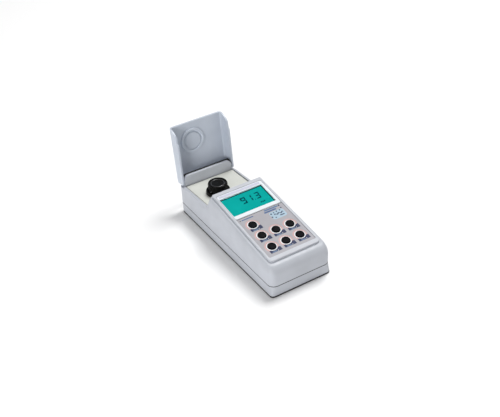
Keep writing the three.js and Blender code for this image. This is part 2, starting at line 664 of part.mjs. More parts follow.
add(instrument, "deck_plate", deckPlate(), deckCream);
add(instrument, "well_collar", wellCollar(), mouldedBlack);
const well = new THREE.Group();
well.position.set(WELL.x, WELL.y, 0);
instrument.add(well);
add(well, "well_seal", wellSeal(), rubberBlack).position.z = OPTICS.top + 0.2;
add(well, "optical_block", opticalBlock(), mouldedBlack);
const led = add(well, "infrared_led", lamp(), irLens);
led.rotation.y = Math.PI / 2;
led.position.set(-OPTICS.halfWidth - 0.6, 0, OPTICS.beamZ);
const detector = add(well, "photodetector", detectorCan(), steel);
detector.rotation.x = Math.PI / 2;
detector.position.set(0, OPTICS.halfWidth - 0.4, OPTICS.beamZ);
const detectorBoard = box(24, 1.6, 26).translate(0, OPTICS.halfWidth + 1.1, 10);
add(well, "detector_circuit_board", detectorBoard, boardGreen);

// ---- Cuvette: glass vial, liner and screw cap ----
function vial() {
  const inner = VIAL_RADIUS - VIAL_WALL;
  const shoulder = CAP_BOTTOM - 1.6;
  const bore = NECK_RADIUS - VIAL_WALL;
  const rim = CAP_TOP - 4;
  return turned([
    [0, VIAL_BOTTOM],
    [VIAL_RADIUS - 1, VIAL_BOTTOM],
    [VIAL_RADIUS, VIAL_BOTTOM + 1],
    [VIAL_RADIUS, shoulder],
    [NECK_RADIUS, shoulder + 1.2],
    [NECK_RADIUS, rim],
    [bore, rim],
    [bore, shoulder + 1],
    [inner, shoulder - 0.6],
    [inner, VIAL_BOTTOM + 2.6],
    [inner - 1, VIAL_BOTTOM + 1.8],
    [0, VIAL_BOTTOM + 1.8],
  ]);
}

function cap() {
  const wallInner = NECK_RADIUS + 0.6;
  const underTop = CAP_TOP - 2.3;
  const round = 1.6; // radius of the top's outer edge
  const dish = { radius: CAP_RADIUS - 2.1, depth: 1.2 };
  const profile = [[wallInner, CAP_BOTTOM], [CAP_RADIUS, CAP_BOTTOM]];
  for (let k = 0; k <= 3; k++) {
    const turn = ((k / 3) * Math.PI) / 2;
    const radius = CAP_RADIUS - round + round * Math.cos(turn);
    profile.push([radius, CAP_TOP - round + round * Math.sin(turn)]);
  }
  profile.push(
    [dish.radius, CAP_TOP],
    [dish.radius - 0.8, CAP_TOP - dish.depth],
    [0, CAP_TOP - dish.depth],
    [0, underTop],
    [wallInner, underTop],
    [wallInner, CAP_BOTTOM],
  );
  return turned(profile);
}

add(well, "cuvette_vial", vial(), glassClear);
const liner = rod(NECK_RADIUS, 0.8, 20).translate(0, 0, CAP_TOP - 3.6);
add(well, "cap_liner", liner, diffuserWhite);
add(well, "cuvette_cap", cap(), mouldedBlack);

// ---- Batteries ----
// A cell about Z with its positive end up.
const cell = () => {
  const { radius, length, nubRadius, nub } = CELL;
  return turned([
    [0, 0],
    [radius - 0.4, 0],
    [radius, 0.4],
    [radius, length - 0.4],
    [radius - 0.4, length],
    [nubRadius, length],
    [nubRadius, length + nub],
    [0, length + nub],
  ], 12);
};

// A conical spring about Z, wide at the foot.
class SpringLine extends THREE.Curve {
  getPoint(t, target = new THREE.Vector3()) {
    const turn = t * 2 * Math.PI * SPRING.turns;
    const radius = SPRING.foot + (SPRING.tip - SPRING.foot) * t;
    return target.set(radius * Math.cos(turn), radius * Math.sin(turn), SPRING.length * t);
  }
}

function spring() {
  const section = new THREE.Shape();
  section.absarc(0, 0, SPRING.wire, 0, 2 * Math.PI);
  const options = { extrudePath: new SpringLine(), steps: 24, curveSegments: 2 };
  return new THREE.ExtrudeGeometry(section, { ...options, bevelEnabled: false });
}

const batteries = new THREE.Group();
instrument.add(batteries);
const contactX = BAY.halfWidth - GAP; // the face of a contact strip that is against the wall
const contactThickness = 0.4;
for (let k = 0; k < 4; k++) {
  const y = (BAY.front + BAY.rear) / 2 + (k - 1.5) * CELL.pitch;
  const side = k % 2 === 0 ? 1 : -1; // the end that the positive terminal faces
  const row = new THREE.Group();
  row.position.set(0, y, CELL.axisZ);
  row.rotation.y = (side * Math.PI) / 2;
  batteries.add(row);
  const contactFace = contactX - contactThickness - GAP;
  const foot = contactFace - CELL.length - CELL.nub;
  add(row, `battery_${k + 1}`, cell(), cellJacket).position.z = foot;
  const coil = add(row, `battery_spring_${k + 1}`, spring(), steel);
  coil.position.z = -contactFace + SPRING.wire;
}

// Strips that join the cells in series: end strips hold one cell, the others bridge two.
const strips = [
  { side: 1, cells: [0, 1] },
  { side: 1, cells: [2, 3] },
  { side: -1, cells: [0, 0] },
  { side: -1, cells: [1, 2] },
  { side: -1, cells: [3, 3] },
];
strips.forEach(({ side, cells }, k) => {
  const middle = (cells[0] + cells[1]) / 2 - 1.5;
  const length = 11 + (cells[1] - cells[0]) * CELL.pitch;
  const strip = box(contactThickness, length, 11);
  const y = (BAY.front + BAY.rear) / 2 + middle * CELL.pitch;
  const x = side * (contactX - contactThickness / 2);
  add(batteries, `battery_contact_${k + 1}`, strip, steel).position.set(x, y, CELL.axisZ - 5.5);
});

function batteryDoor() {
  const { halfWidth, front, rear, thickness } = DOOR;
  const sheet = plate(2 * halfWidth, rear - front, 0.8, thickness);
  let body = solid(sheet, shift(0, (front + rear) / 2, BASE_Z));
  for (let k = 0; k < 4; k++)
    body = body.subtract(solid(box(16, 1, 1), shift(0, front + 4 + 2.4 * k, BASE_Z - 0.5)));
  return body;
}
add(instrument, "battery_door", batteryDoor(), caseGrey);

// ---- Feet and case screws ----
footPlaces.forEach(([x, y], k) => {
  const { radius, height } = FOOT;
  const pad = turned([[0, 0], [radius - 0.5, 0], [radius, 0.5], [radius, height], [0, height]], 16);
  add(instrument, `foot_${k + 1}`, pad, rubberBlack).position.set(x, y, 0);
});
screwPlaces.forEach(([x, y], k) => {
  const caseScrew = screw(SCREW.headRadius, 2.2, SCREW.shank, SCREW.top - SCREW.headZ);
  const sunk = SCREW.headZ - GAP - 2.2;
  add(instrument, `case_screw_${k + 1}`, caseScrew, steel).position.set(x, y, sunk);
});

// ---- Wires inside the case ----
function lead(points, radius) {
  const section = new THREE.Shape();
  section.absarc(0, 0, radius, 0, 2 * Math.PI);
  const path = new THREE.CatmullRomCurve3(points.map((point) => new THREE.Vector3(...point)));
  const options = { extrudePath: path, steps: 14, curveSegments: 3, bevelEnabled: false };
  return new THREE.ExtrudeGeometry(section, options);
}
const leadRadius = 0.7;
const [leftHole, rightHole] = LEAD_HOLES;
const holeY = BAY.rear - 1.6;
const leadTo = (x) => [
  [x, holeY, BAY.roof - 1],
  [x, holeY, BAY.roof + 5],
  [x * 1.1, holeY + 8, BAY.roof + 10],
  [x * 1.3, holeY + 12, BAY.roof + 17],
];
add(instrument, "battery_lead_positive", lead(leadTo(rightHole), leadRadius), leadRed);
add(instrument, "battery_lead_negative", lead(leadTo(leftHole), leadRadius), leadBlack);
const cableStart = { x: WELL.x + 8, y: WELL.y + OPTICS.halfWidth + 2.2 };
const detectorCable = [
  [cableStart.x, cableStart.y + 0.8, 30],
  [cableStart.x + 8, cableStart.y + 1.2, 28],
  [WELL.x + OPTICS.halfWidth + 5, cableStart.y - 6, 25],
  [WELL.x + OPTICS.halfWidth + 5, WELL.y, 24],
  [WELL.x + OPTICS.halfWidth + 3, WELL.y - OPTICS.halfWidth - 6, 30],
  [10, WELL.y - OPTICS.halfWidth - 14, 42],
];
add(instrument, "detector_cable", lead(detectorCable, 0.9), leadGrey);

// ---- Hinge pins and the lid ----
[-1, 1].forEach((side, k) => {
  const inner = HINGE_BLOCK.halfWidth - 5.5;
  const pin = rod(PIN_RADIUS, LID_HALF_WIDTH - 0.1 - inner, 24).rotateY((side * Math.PI) / 2);
  const place = [side * inner, PIVOT.y, PIVOT.z];
  add(instrument, `hinge_pin_${k + 1}`, pin, steel).position.set(...place);
});

// The lid's side view, shut, from the tip's top edge round by the foot to the hinge ear.
function lidSide() {
  const { y: tipY, z: tipZ } = LID_TIP;
  const [py, pz] = [PIVOT.y, PIVOT.z];
  const clear = 0.6; // over the case rim
  const ear = LID_REAR_Y - py;
  const stepY = tipY + 17;
  const edge = (y) => deckHeight(y) + clear;
  const shape = new THREE.Shape();
  shape.moveTo(tipY, tipZ + 1);
  shape.lineTo(tipY + 1, tipZ - 5);
  shape.quadraticCurveTo(tipY + 4.5, edge(tipY) + 3.4, tipY + 10, edge(tipY) + 2.2);
  shape.lineTo(stepY - 2, edge(stepY) + 2.2);
  shape.quadraticCurveTo(stepY, edge(stepY) + 2, stepY + 1, edge(stepY) + 0.6);
  shape.lineTo(stepY + 2.5, edge(stepY + 2.5));
  shape.lineTo(py - 6, edge(py - 6));
  shape.lineTo(py, pz - ear);
  shape.absarc(py, pz, ear, -Math.PI / 2, 0);
  shape.lineTo(LID_REAR_Y, tipZ + 1);
  shape.closePath();
  return shape;
}

// The lid's end view: a flat top with rounded shoulders, inset all round.
function lidEnd(inset) {
  const half = LID_HALF_WIDTH - inset;
  const radius = LID_CORNER - inset;
  const shape = new THREE.Shape();
  shape.moveTo(-half, -40);
  shape.lineTo(half, -40);
  shape.lineTo(half, -radius - inset);
  shape.absarc(half - radius, -radius - inset, radius, 0, Math.PI / 2);
  shape.lineTo(radius - half, -inset);
  shape.absarc(radius - half, -radius - inset, radius, Math.PI / 2, Math.PI);
  shape.closePath();
  return shape;
}

function lid() {
  const width = 2 * LID_HALF_WIDTH + 2;
  const side = new THREE.ExtrudeGeometry(lidSide(), {
    depth: width,
    bevelEnabled: false,
    curveSegments: 8,
  });
  // The lid's own top plane falls towards the hinge.
  const top = new THREE.Matrix4()
    .makeTranslation(0, LID_TIP.y, LID_TIP.z)
    .multiply(new THREE.Matrix4().makeRotationX(-LID_SLOPE));
  const swept = (inset, from, length) => {
    const end = new THREE.ExtrudeGeometry(lidEnd(inset), {
      depth: length,
      bevelEnabled: false,
      curveSegments: 6,
    }).rotateX(Math.PI / 2);
    return solid(end, top.clone().multiply(shift(0, from + length, 0)));
  };
  const { x: ringX, y: ringY, inner, outer, disc, height } = LID_RING;
  const ringAt = top.clone().multiply(shift(ringX, ringY - LID_TIP.y, -LID_WALL - height));
  const boss = turned([
    [inner, 0.6],
    [inner + 0.7, 0],
    [outer - 0.7, 0],
    [outer, 0.6],
    [outer, height + 1],
    [inner, height + 1],
    [inner, 0.6],
  ], 28);
  const discFace = 0.6; // how far the disc stays short of the ring's crest
  const centre = turned([
    [0, discFace],
    [disc - 0.6, discFace],
    [disc, discFace + 0.5],
    [disc, height + 1],
    [0, height + 1],
  ], 28);
  let body = solid(side, shift(-width / 2, 0, 0).multiply(sideways))
    .intersect(swept(0, -5, 90))
    .subtract(swept(LID_WALL, -10, 100))
    .add(solid(boss, ringAt))
    .add(solid(centre, ringAt));
  const pinHole = rod(PIN_RADIUS + GAP / 2, width, 24).rotateY(Math.PI / 2);
  body = body.subtract(solid(pinHole, shift(-width / 2, PIVOT.y, PIVOT.z)));
  return surface(body).translate(0, -PIVOT.y, -PIVOT.z);
}
add(lidShut, "lid", lid(), lidGrey);

// ---- Origin at the bottom centre of the whole ----
const extent = new THREE.Box3().setFromObject(instrument, true);
const middle = extent.getCenter(new THREE.Vector3());
instrument.position.set(-middle.x, -middle.y, -extent.min.z);

export default instrument;
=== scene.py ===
"""The looks of the handheld water tester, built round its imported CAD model. Metres, Z up."""
import json
import math
import random

import bmesh
import bpy
from mathutils import Matrix, Vector
from mathutils.geometry import convex_hull_2d


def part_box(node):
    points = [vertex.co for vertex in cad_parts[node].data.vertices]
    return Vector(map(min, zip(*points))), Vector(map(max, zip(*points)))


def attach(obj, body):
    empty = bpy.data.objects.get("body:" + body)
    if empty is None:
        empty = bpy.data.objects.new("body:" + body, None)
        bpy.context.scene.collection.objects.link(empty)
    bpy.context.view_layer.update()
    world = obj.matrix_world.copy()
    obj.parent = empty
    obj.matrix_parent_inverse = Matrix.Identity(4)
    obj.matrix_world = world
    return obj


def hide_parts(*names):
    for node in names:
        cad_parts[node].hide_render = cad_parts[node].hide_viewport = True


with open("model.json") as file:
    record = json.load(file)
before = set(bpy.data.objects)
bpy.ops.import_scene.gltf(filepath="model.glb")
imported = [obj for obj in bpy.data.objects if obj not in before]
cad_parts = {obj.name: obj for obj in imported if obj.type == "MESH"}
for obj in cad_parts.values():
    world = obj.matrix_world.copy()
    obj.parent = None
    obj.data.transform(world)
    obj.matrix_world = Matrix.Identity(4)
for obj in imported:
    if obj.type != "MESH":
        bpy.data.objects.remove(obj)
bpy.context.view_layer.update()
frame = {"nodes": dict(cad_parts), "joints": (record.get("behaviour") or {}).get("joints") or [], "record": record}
nodes = frame["nodes"]
MM = 0.001
random.seed(7)


# ---- Materials ----
def principled(mat):
    return mat.node_tree.nodes["Principled BSDF"]


def new_material(name, color, roughness, **sockets):
    """A Principled material. Plain values are set straight on the shader's own sockets."""
    mat = bpy.data.materials.new(name)
    mat.use_nodes = True
    shader = principled(mat)
    shader.inputs["Base Color"].default_value = (*color, 1)
    shader.inputs["Roughness"].default_value = roughness
    for socket, value in sockets.items():
        shader.inputs[socket.replace("_", " ")].default_value = value
    return mat


def node(mat, kind, **values):
    """A shader node with its input sockets set by name."""
    made = mat.node_tree.nodes.new(kind)
    for socket, value in values.items():
        made.inputs[socket].default_value = value
    return made


def link(mat, source, output, target, socket):
    mat.node_tree.links.new(source.outputs[output], target.inputs[socket])


def noise(mat, scale, detail=3.0, stretch=(1, 1, 1)):
    """Noise over the object's own coordinates, at so many cells a metre."""
    coordinates = mat.node_tree.nodes.new("ShaderNodeTexCoord")
    mapping = node(mat, "ShaderNodeMapping", Scale=stretch)
    texture = node(mat, "ShaderNodeTexNoise", Scale=scale, Detail=detail, Roughness=0.55)
    link(mat, coordinates, "Object", mapping, "Vector")
    link(mat, mapping, "Vector", texture, "Vector")
    return texture


def uneven_gloss(mat, texture, low, high):
    """Lets the roughness wander from low to high over the noise's middle values."""
    limits = {"From Min": 0.3, "From Max": 0.7, "To Min": low, "To Max": high}
    remap = node(mat, "ShaderNodeMapRange", **limits)
    link(mat, texture, "Fac", remap, "Value")
    link(mat, remap, "Result", principled(mat), "Roughness")


def mottle(mat, color, texture, spread):
    """Varies the base colour by a share of itself, along the noise's middle values."""
    ramp = mat.node_tree.nodes.new("ShaderNodeValToRGB")
    ramp.color_ramp.elements[0].position = 0.35
    ramp.color_ramp.elements[1].position = 0.65
    ramp.color_ramp.elements[0].color = (*(c * (1 - spread) for c in color), 1)
    ramp.color_ramp.elements[1].color = (*(min(1, c * (1 + spread)) for c in color), 1)
    link(mat, texture, "Fac", ramp, "Fac")
    link(mat, ramp, "Color", principled(mat), "Base Color")


def bump(mat, texture, strength, distance):
    height = node(mat, "ShaderNodeBump", Strength=strength, Distance=distance)
    link(mat, texture, "Fac", height, "Height")
    link(mat, height, "Normal", principled(mat), "Normal")


def moulded(name, color, roughness, grain=900, depth=0.04 * MM, **sockets):
    """Moulded plastic or rubber: faint cloudy colour, uneven gloss and a spark-eroded grain."""
    mat = new_material(name, color, roughness, **sockets)
    mottle(mat, color, noise(mat, 45, 4), 0.03)
    uneven_gloss(mat, noise(mat, 160, 5), roughness * 0.88, min(1, roughness * 1.12))
    bump(mat, noise(mat, grain, 2), 0.35, depth)
    return mat


def metal(name, color, roughness):
    """Plated metal with fine drawn lines."""
    mat = new_material(name, color, roughness, Metallic=1.0)
    lines = noise(mat, 700, 3, (1, 1, 12))
    mottle(mat, color, lines, 0.08)
    uneven_gloss(mat, lines, roughness * 0.7, roughness * 1.4)
    bump(mat, lines, 0.15, 0.02 * MM)
    return mat


def clear(name, color, roughness, ior):
    """Clear glass or acrylic that lets lamps through to what is behind it."""
    mat = new_material(name, color, roughness, Transmission_Weight=1.0, IOR=ior)
    tree = mat.node_tree
    mottle(mat, color, noise(mat, 90, 3), 0.012)
    path = tree.nodes.new("ShaderNodeLightPath")
    through = node(mat, "ShaderNodeBsdfTransparent", Color=(*color, 1))
    mix = tree.nodes.new("ShaderNodeMixShader")
    link(mat, path, "Is Shadow Ray", mix, "Fac")
    tree.links.new(principled(mat).outputs[0], mix.inputs[1])
    tree.links.new(through.outputs[0], mix.inputs[2])
    tree.links.new(mix.outputs[0], tree.nodes["Material Output"].inputs["Surface"])
    return mat


materials = {
    "case_plastic": moulded("case_grey_plastic", (0.475, 0.495, 0.54), 0.42),
    "deck_plastic": moulded("deck_warm_plastic", (0.64, 0.65, 0.60), 0.5),
    "lid_plastic": moulded("lid_grey_plastic", (0.505, 0.55, 0.625), 0.42),
    "bezel_plastic": moulded("bezel_white_plastic", (0.70, 0.74, 0.78), 0.35, 1500, 0.02 * MM),
    "overlay_film": moulded("overlay_silver_film", (0.31, 0.30, 0.33), 0.4, 2200, 0.02 * MM),
    "key_rubber": moulded("key_black_rubber", (0.0022, 0.0024, 0.004), 0.5,
                          Specular_IOR_Level=0.04),
    "window_clear": clear("window_clear_acrylic", (0.97, 0.99, 0.985), 0.0, 1.0),
    "diffuser_white": moulded("diffuser_milky_plastic", (0.86, 0.88, 0.87), 0.5),
    "moulded_black": moulded("black_moulded_plastic", (0.0035, 0.0035, 0.003), 0.24,
                             Specular_IOR_Level=0.09),
    # Also used for the dark bands that paint shade at the hinge gap, the parting gap and the foot of the case
    "seal_rubber": moulded("black_seal_rubber_and_painted_shade", (0.012, 0.012, 0.013), 0.7),
    "board_green": moulded("green_solder_mask", (0.02, 0.13, 0.06), 0.35),
    "chip_black": moulded("chip_epoxy", (0.012, 0.012, 0.014), 0.45),
    "steel": metal("plated_steel", (0.62, 0.63, 0.65), 0.28),
    "cell_jacket": moulded("cell_blue_jacket", (0.04, 0.10, 0.27), 0.3, Coat_Weight=0.4),
    "lens_dark": moulded("lamp_dark_epoxy", (0.02, 0.012, 0.035), 0.12),
    "vial_glass": clear("vial_clear_glass", (0.95, 0.98, 0.97), 0.01, 1.47),
    "lead_red": moulded("lead_red_insulation", (0.42, 0.02, 0.015), 0.4),
    "lead_black": moulded("lead_black_insulation", (0.012, 0.012, 0.013), 0.4),
    "lead_grey": moulded("lead_grey_insulation", (0.23, 0.24, 0.26), 0.4),
}


def lcd_material():
    """The liquid crystal: a painted teal glow, though it is no lamp, that varies softly over its area."""
    color = (0.0005, 0.012, 0.011)
    mat = new_material("lcd_teal_painted_glow", color, 0.35, IOR=1.0, Specular_IOR_Level=0.0,
                       Emission_Strength=1.17)
    cloud = noise(mat, 35, 2)
    mottle(mat, color, cloud, 0.06)
    # The teal comes from emission: a painted glow, not light from the lamps
    glow = mat.node_tree.nodes.new("ShaderNodeValToRGB")
    glow.color_ramp.elements[0].color = (0.003, 0.30, 0.28, 1)
    glow.color_ramp.elements[1].color = (0.004, 0.36, 0.33, 1)
    link(mat, cloud, "Fac", glow, "Fac")
    link(mat, glow, "Color", principled(mat), "Emission Color")
    return mat


materials["lcd_glass"] = lcd_material()
ink_navy = moulded("ink_navy", (0.008, 0.018, 0.075), 0.4, Specular_IOR_Level=0.2)
ink_blue = moulded("ink_blue", (0.045, 0.10, 0.24), 0.4, Specular_IOR_Level=0.3)
ink_slate = moulded("ink_slate_blue", (0.05, 0.12, 0.25), 0.4)
ink_sky = moulded("ink_sky", (0.31, 0.44, 0.54), 0.4)
# Painted shade along the top of the bezel
lavender_painted_shade = moulded("lavender_painted_shade", (0.50, 0.51, 0.62), 0.4)
ink_white = moulded("ink_white", (0.82, 0.84, 0.86), 0.4)
ink_salmon = moulded("ink_salmon", (0.50, 0.30, 0.29), 0.4)
polished_black = moulded("polished_black_plastic", (0.02, 0.02, 0.019), 0.12,
                         Specular_IOR_Level=0.8)
# Painted shade of a groove round the deck plate
groove_painted_shade = moulded("groove_painted_shade_grey", (0.10, 0.105, 0.11), 0.6)
# Dark grey for printed lines, and for crosses that paint the shade in the screw recesses
dark_ink_and_painted_shade = moulded("dark_grey_ink_and_painted_shade", (0.05, 0.05, 0.06), 0.4)
# Dark segment ink with a faint painted teal glow of its own
lcd_ink_painted_glow = moulded("lcd_segment_ink_painted_glow", (0.0005, 0.008, 0.012), 0.4, IOR=1.0,
                  Specular_IOR_Level=0.0, Emission_Color=(0.001, 0.045, 0.062, 1),
                  Emission_Strength=1.0)
# Painted shade round the edge of the display window
window_painted_shade_ink = moulded("window_painted_shade_ink", (0.006, 0.02, 0.022), 0.6, IOR=1.0,
                       Specular_IOR_Level=0.0)

for part in frame["record"]["subparts"]:
    nodes[part["node"]].material_slots[0].material = materials[part["material_slot"]]


# ---- Shading of the carried CAD nodes ----
def smooth_between_edges(o):
    """Shades the facets smooth up to the sharp edges. The mesh stays as packed."""
    for name in ("custom_normal", "sharp_face", "sharp_edge"):
        if name in o.data.attributes:
            o.data.attributes.remove(o.data.attributes[name])
    weld = o.modifiers.new("weld", "WELD")
    weld.merge_threshold = 0.002 * MM
    split = o.modifiers.new("split", "EDGE_SPLIT")
    split.split_angle = math.radians(34)
    split.use_edge_sharp = False


for carried in nodes.values():
    smooth_between_edges(carried)


# ---- The frame of the sloping face ----
def axes(x, y, z, origin):
    """The matrix of a frame with these three axes and this origin."""
    matrix = Matrix((x, y, z)).transposed().to_4x4()
    matrix.translation = origin
    return matrix


press = next(j for j in frame["joints"] if j["name"] == "key_3_press")
FACE_OUT = -Vector(press["axis"]).normalized()
FACE_UP = FACE_OUT.cross(Vector((1, 0, 0))).normalized()
KEY_CROWN = 1.3 * MM  # height of a key's top over the face
KEY_ROW = -23.3 * MM  # place of key_3 along the face
key_points = [v.co for v in nodes["key_3"].data.vertices]
key_top = max(p.dot(FACE_OUT) for p in key_points)
key_along = [p.dot(FACE_UP) for p in key_points]
FACE = axes(
    (1, 0, 0), FACE_UP, FACE_OUT,
    FACE_OUT * (key_top - KEY_CROWN)
    + FACE_UP * ((max(key_along) + min(key_along)) / 2 - KEY_ROW)
)
key_places = []
for k in range(1, 8):
    low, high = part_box(f"key_{k}")
    place = FACE.inverted() @ ((low + high) / 2)
    key_places.append((place.x / MM, place.y / MM))
OVERLAY_TOP, BEZEL_TOP, LCD_TOP = -0.7, -0.2, -3.2  # heights over the face, in millimetres
LENS_HIDDEN = 0.5  # how much of the lens the bezel covers all round
lens_points = [FACE.inverted() @ v.co / MM for v in nodes["display_window"].data.vertices]
WINDOW = (
    min(p.x for p in lens_points) + LENS_HIDDEN,
    min(p.y for p in lens_points) + LENS_HIDDEN,
    max(p.x for p in lens_points) - LENS_HIDDEN,
    max(p.y for p in lens_points) - LENS_HIDDEN,
)


def make(name, bm, mat, body="root", matrix=None):
    """Turns a bmesh into a piece that rides on a body."""
    bmesh.ops.recalc_face_normals(bm, faces=bm.faces)
    mesh = bpy.data.meshes.new(name)
    bm.to_mesh(mesh)
    bm.free()
    if matrix is not None:
        mesh.transform(matrix)
    o = bpy.data.objects.new(name, mesh)
    bpy.context.scene.collection.objects.link(o)
    mesh.materials.append(mat)
    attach(o, body)
    return o


def prism(bm, outline, low, high):
    """A flat plate with the given outline, in millimetres, between two heights."""
    bottom = [bm.verts.new((x * MM, y * MM, low * MM)) for x, y in outline]
    top = [bm.verts.new((x * MM, y * MM, high * MM)) for x, y in outline]
    bm.faces.new(bottom[::-1])
    bm.faces.new(top)
    for i in range(len(outline)):
        j = (i + 1) % len(outline)
        bm.faces.new((bottom[i], bottom[j], top[j], top[i]))


def join_rings(bm, rings):
    """Faces from each ring of vertices to the next, and from the last back to the first."""
    for near, far in zip(rings, rings[1:] + rings[:1]):
        for i in range(len(near)):
            j = (i + 1) % len(near)
            bm.faces.new((near[i], far[i], far[j], near[j]))


def hoop(sections):
    """A closed hoop through (outline, height) sections, all in millimetres."""
    bm = bmesh.new()
    join_rings(bm, [
        [bm.verts.new((x * MM, y * MM, z * MM)) for x, y in outline] for outline, z in sections
    ])
    return bm


def lathe(bm, profile, centre, sides=48):
    """A closed ring of revolution about the local Z axis, from (radius, height) pairs."""
    rings = []
    for k in range(sides):
        turn = 2 * math.pi * k / sides
        rings.append([
            bm.verts.new((
                (centre[0] + r * math.cos(turn)) * MM,
                (centre[1] + r * math.sin(turn)) * MM,
                z * MM,
            ))
            for r, z in profile
        ])
    join_rings(bm, rings)


def shade_smooth(o):
    for polygon in o.data.polygons:
        polygon.use_smooth = True


def rectangle(x0, y0, x1, y1, radius=0.0, lean=0.0):
    """An outline with rounded corners. lean shifts each point's x by so much for each y."""
    if radius == 0:
        points = [(x0, y0), (x1, y0), (x1, y1), (x0, y1)]
    else:
        points = []
        for cx, cy, quarter in (
            (x1 - radius, y0 + radius, 3),
            (x1 - radius, y1 - radius, 0),
            (x0 + radius, y1 - radius, 1),
            (x0 + radius, y0 + radius, 2),
        ):
            for k in range(6):
                turn = (quarter + k / 5) * math.pi / 2
                points.append((cx + radius * math.cos(turn), cy + radius * math.sin(turn)))
    return [(x + lean * (y - y0), y) for x, y in points]


# ---- Print on the keypad: millimetres in the frame of the sloping face ----
PRINT = (OVERLAY_TOP - 0.04, OVERLAY_TOP + 0.05)  # underside and top of the ink
RING_INNER, RING_OUTER, HALO_OUTER = 5.65, 6.85, 8.9


def label_outline(x, y):
    """A label under a key: a band whose upper edge is scooped out round the key's ring."""
    left, right, drop, scoop = 6.9, 9.0, 9.9, 6.9
    rise_right, rise_left = 3.9, 5.2
    steps = 20
    start, end = math.asin(-rise_right / scoop), -math.pi - math.asin(-rise_left / scoop)
    points = [(x - left, y - drop), (x + right, y - drop), (x + right, y - rise_right)]
    for k in range(steps + 1):
        turn = start + (end - start) * k / steps
        points.append((x + scoop * math.cos(turn), y + scoop * math.sin(turn)))
    points.append((x - left, y - rise_left))
    return points


rings, halos, labels, tints, marks = (bmesh.new() for _ in range(5))
low, high = PRINT
ring_profile = [(RING_INNER, low), (RING_OUTER, low), (RING_OUTER, high + 0.02),
                (6.5, high + 0.22), (5.95, high + 0.22), (RING_INNER, high + 0.05)]
halo_profile = [(RING_OUTER, low), (HALO_OUTER, low), (HALO_OUTER, high - 0.03),
                (RING_OUTER, high - 0.03)]
for x, y in key_places:
    lathe(rings, ring_profile, (x, y))
    lathe(halos, halo_profile, (x, y))
    prism(labels, label_outline(x, y), low, high - 0.01)
    prism(marks, rectangle(x + 3.2, y - 9.1, x + 4.2, y - 8.3), low, high + 0.02)
    prism(tints, rectangle(x - 4.2, y - 9.5, x + 2.2, y - 8.1), low, high)
make("keypad_key_rings", rings, ink_white, matrix=FACE)
make("keypad_key_halos", halos, ink_salmon, matrix=FACE)
make("keypad_key_labels", labels, ink_navy, matrix=FACE)
make("keypad_label_tints", tints, ink_slate, matrix=FACE)
make("keypad_label_marks", marks, ink_white, matrix=FACE)


def flat_print_and_shade(name, outlines, ink, low=PRINT[0], high=PRINT[1]):
    """Flat ink on the sloping face; at the top of the bezel, a flat band of painted shade."""
    bm = bmesh.new()
    for outline in outlines:
        prism(bm, outline, low, high)
    make(name, bm, ink, matrix=FACE)


flat_print_and_shade("keypad_slate_stripe", [rectangle(5.2, 9.7, 24.6, 12.2, 0.4)], ink_slate)
flat_print_and_shade("keypad_blue_stripes", [rectangle(3.4, 6.4, 20.4, 8.8, 0.4),
                                rectangle(-27.4, 9.3, -11.2, 10.7, 0.3)], ink_blue)
flat_print_and_shade("keypad_pale_patch", [rectangle(7.4, -8.2, 27.6, 5.2, 3.2)], ink_sky,
        high=PRINT[1] - 0.02)

# A wave line over a dash, among small squares: a generic sign for water
WAVE_START, WAVE_LENGTH, WAVE_MIDDLE, WAVE_STEPS = 12.6, 13.0, -0.8, 30
SQUARES = ((26.4, 11.0, 2.2), (26.6, 6.4, 1.8), (22.9, 3.6, 1.7), (18.2, 3.4, 1.8),
           (13.8, 2.8, 1.6), (9.6, 2.0, 2.0), (8.2, -3.2, 1.8), (12.0, -5.6, 1.6))
upper, lower = [], []
for i in range(WAVE_STEPS + 1):
    x = WAVE_START + WAVE_LENGTH * i / WAVE_STEPS
    phase = i / WAVE_STEPS * 5 * math.pi
    swing = 0.8 * math.sin(phase)
    thick = 0.75 + 0.15 * math.cos(phase)
    upper.append((x, WAVE_MIDDLE + swing + thick))
    lower.append((x, WAVE_MIDDLE + swing - thick))
sign = [lower + upper[::-1], rectangle(18.6, -5.4, 24.8, -4.0, 0.4)]
for x, y, size in SQUARES:
    sign.append(rectangle(x - size / 2, y - size / 2, x + size / 2, y + size / 2))
flat_print_and_shade("keypad_wave_sign", sign, ink_navy, high=PRINT[1] + 0.01)

flat_print_and_shade("keypad_edge_line", [rectangle(-32.2, 13.3, 32.2, 13.8),
                             rectangle(-30.4, 9.2, -28.6, 10.6)], dark_ink_and_painted_shade)
# A lavender band along the top of the bezel paints the shade at the recess's far edge
flat_print_and_shade("bezel_top_painted_shade", [rectangle(-30.6, 55.6, 28.4, 59.6, 0.8)], lavender_painted_shade,
        BEZEL_TOP - 0.04, BEZEL_TOP + 0.03)

# ---- The display: digits, marks and a dark border of painted shade round the window ----
SEGMENTS = {"9": "abcdfg", "1": "bc", "3": "abcdg"}
SEGMENT_INK = (LCD_TOP - 0.02, LCD_TOP + 0.06)  # underside and top
DIGIT_FOOT, DIGIT_HEIGHT, DIGIT_LEAN = 35.7, 11.6, 0.09
digits = bmesh.new()


